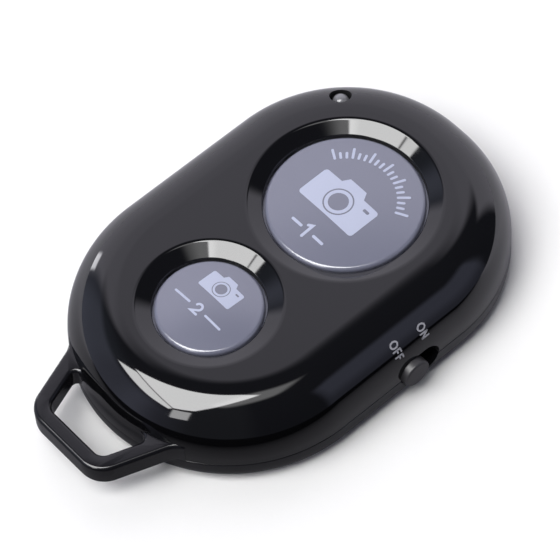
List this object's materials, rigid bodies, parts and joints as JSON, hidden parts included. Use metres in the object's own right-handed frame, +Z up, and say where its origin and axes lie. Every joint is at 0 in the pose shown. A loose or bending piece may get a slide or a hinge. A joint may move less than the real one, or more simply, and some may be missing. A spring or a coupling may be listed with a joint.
{
  "type": "wireless camera shutter remote",
  "caption": "Oval pocket shutter remote for a phone camera, with a large and a small dished press button, a side slide switch, a status light, a lanyard loop and a sliding battery door.",
  "frame": {"origin": "on the resting face, under the middle of the case (the lanyard loop not counted)", "axes": "+X along the case from the lanyard loop to the status light, +Y away from the slide switch, +Z up out of the buttons"},
  "size_m": [0.0582, 0.0366, 0.0105],
  "materials": {
    "shell_gloss": "high gloss",
    "shell_satin": "satin",
    "button": "satin",
    "knob": "satin",
    "chip": "matte",
    "steel": "satin",
    "board": "satin",
    "ceramic": "matte",
    "gold": "satin",
    "lens": "clear",
    "cell_steel": "satin",
    "gasket": "matte"
  },
  "bodies": {
    "case": {"top_shell": "shell_gloss", "bottom_shell": "shell_satin", "case_screws": "steel", "large_switch_base": "chip", "large_switch_cover": "steel", "large_switch_legs": "steel", "small_switch_base": "chip", "small_switch_cover": "steel", "small_switch_legs": "steel", "power_switch_case": "steel", "power_switch_base": "chip", "power_switch_terminals": "steel", "circuit_board": "board", "bluetooth_chip": "chip", "memory_chip": "chip", "crystal": "steel", "chip_capacitors": "ceramic", "chip_resistors": "chip", "antenna_trace": "gold", "light_lens": "lens", "light_leads": "steel", "coin_cell_can": "cell_steel", "coin_cell_gasket": "gasket", "coin_cell_cap": "cell_steel", "battery_clip_positive": "gold", "battery_contact_negative": "gold"},
    "large_button": {"large_button_cap": "button", "large_switch_plunger": "knob"},
    "small_button": {"small_button_cap": "button", "small_switch_plunger": "knob"},
    "power_switch": {"power_switch_knob": "knob", "power_switch_actuator": "chip"},
    "door": {"battery_door": "shell_satin"}
  },
  "joints": [
    {"name": "large_button_press", "type": "slide", "parent": "case", "child": "large_button", "axis": [0, 0, -1], "range_m": [0, 0.00035], "stiffness_N_per_m": 3000},
    {"name": "small_button_press", "type": "slide", "parent": "case", "child": "small_button", "axis": [0, 0, -1], "range_m": [0, 0.00035], "stiffness_N_per_m": 3000},
    {"name": "power_switch_slide", "type": "slide", "parent": "case", "child": "power_switch", "axis": [1, 0, 0], "range_m": [0, 0.002]},
    {"name": "battery_door_slide", "type": "slide", "parent": "case", "child": "door", "axis": [1, 0, 0], "range_m": [0, 0.034]}
  ]
}
